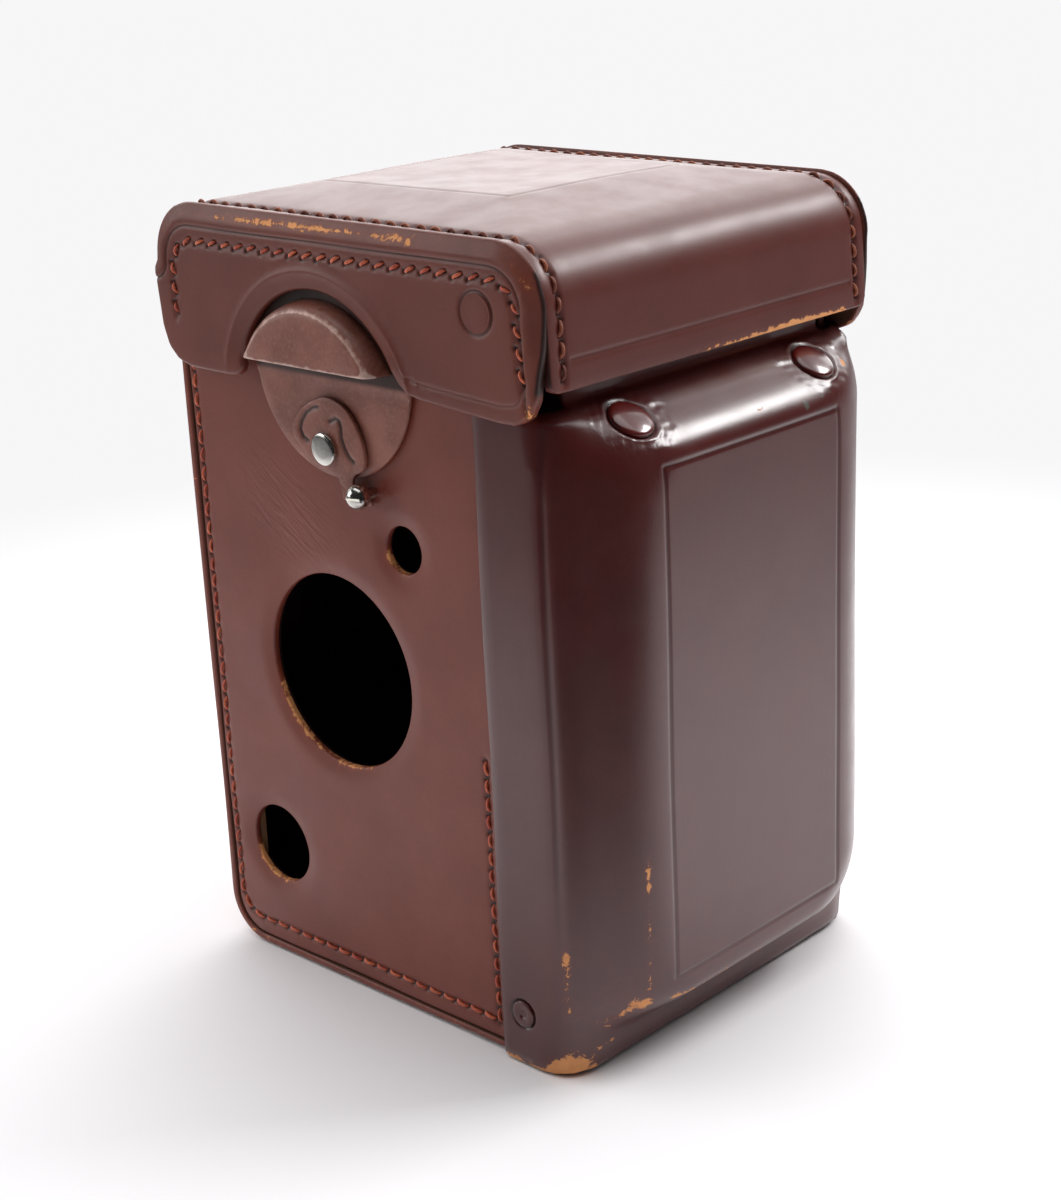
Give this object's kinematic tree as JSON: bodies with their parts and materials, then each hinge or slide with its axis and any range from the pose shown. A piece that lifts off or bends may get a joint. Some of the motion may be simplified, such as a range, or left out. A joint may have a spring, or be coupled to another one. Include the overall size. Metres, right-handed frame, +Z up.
{
  "type": "ever-ready case for a twin lens reflex camera",
  "caption": "Moulded leather hard case for a twin lens reflex camera, with a hinged hooded lid, a drop front, ball-stud latches and a camera screw in its base.",
  "frame": {"origin": "centre of the footprint, on the plane that the case stands on", "axes": "+Z up, -Y towards the front (the bulged drop front), -X the side with the three knob holes"},
  "size_m": [0.0984, 0.1103, 0.1596],
  "materials": {
    "leather_side": "waxed, semi-gloss, warm brown",
    "leather_front": "polished, glossy, dark oxblood brown",
    "leather_lid": "waxed, semi-gloss, dark brown",
    "leather_raw": "undyed, matte",
    "leather_board": "pressed board, matte",
    "velvet": "short pile",
    "thread": "waxed linen, red-brown",
    "plate_paint": "stoved brown lacquer, worn at the edges",
    "nickel": "bright nickel plate",
    "rivet_brown": "glossy brown lacquer",
    "brass": "satin",
    "spring_steel": "satin"
  },
  "bodies": {
    "case_body": {"side_panel_left": "leather_side", "side_panel_right": "leather_side", "back_bottom_wrap": "leather_side", "side_thread_left": "thread", "side_thread_right": "thread", "seam_welt_left": "leather_raw", "seam_welt_right": "leather_raw", "side_lining_left": "velvet", "side_lining_right": "velvet", "back_lining": "velvet", "base_board": "leather_board", "screw_bush": "brass", "latch_studs": "nickel", "stud_nuts": "brass", "front_hinge_rivets": "rivet_brown", "front_hinge_washers": "brass", "hinge_band_lower": "leather_side", "hinge_thread_lower": "thread"},
    "lid": {"lid_wrap": "leather_lid", "lid_flap_left": "leather_lid", "lid_flap_right": "leather_lid", "lid_lining": "velvet", "lid_thread_left": "thread", "lid_thread_right": "thread", "latch_plate_left": "plate_paint", "latch_plate_right": "plate_paint", "plate_rivets": "brass", "corner_rivets": "leather_lid", "lever_rivets": "nickel", "lever_washers": "spring_steel", "hinge_band_upper": "leather_side", "hinge_thread_upper": "thread"},
    "front_cover": {"front_cover": "leather_front", "front_cover_lining": "velvet", "shoulder_stiffener": "leather_raw", "dome_rivets": "rivet_brown", "dome_rivet_burrs": "brass"},
    "latch_lever_left": {"latch_lever_left": "plate_paint"},
    "latch_lever_right": {"latch_lever_right": "plate_paint"},
    "camera_screw": {"camera_screw": "nickel", "screw_ring": "spring_steel"}
  },
  "joints": [
    {"name": "lid_hinge", "type": "hinge", "parent": "case_body", "child": "lid", "pos_m": [0, 0.0552, 0.131], "axis": [-1, 0, 0], "range_deg": [0, 175]},
    {"name": "front_cover_drop", "type": "hinge", "parent": "case_body", "child": "front_cover", "pos_m": [0, -0.03335, 0.0112], "axis": [1, 0, 0], "range_deg": [0, 85.1]},
    {"name": "latch_lever_left_turn", "type": "hinge", "parent": "lid", "child": "latch_lever_left", "pos_m": [-0.045, 0.0097, 0.1142], "axis": [1, 0, 0], "range_deg": [0, 35]},
    {"name": "latch_lever_right_turn", "type": "hinge", "parent": "lid", "child": "latch_lever_right", "pos_m": [0.045, 0.0097, 0.1142], "axis": [1, 0, 0], "range_deg": [0, 35]},
    {"name": "camera_screw_turn", "type": "hinge", "parent": "case_body", "child": "camera_screw", "pos_m": [0, 0.006, 0.003], "axis": [0, 0, 1], "continuous": true}
  ],
  "couplings": [
    {"joint": "front_cover_drop", "follows": "lid_hinge", "ratio": 0.4857}
  ]
}
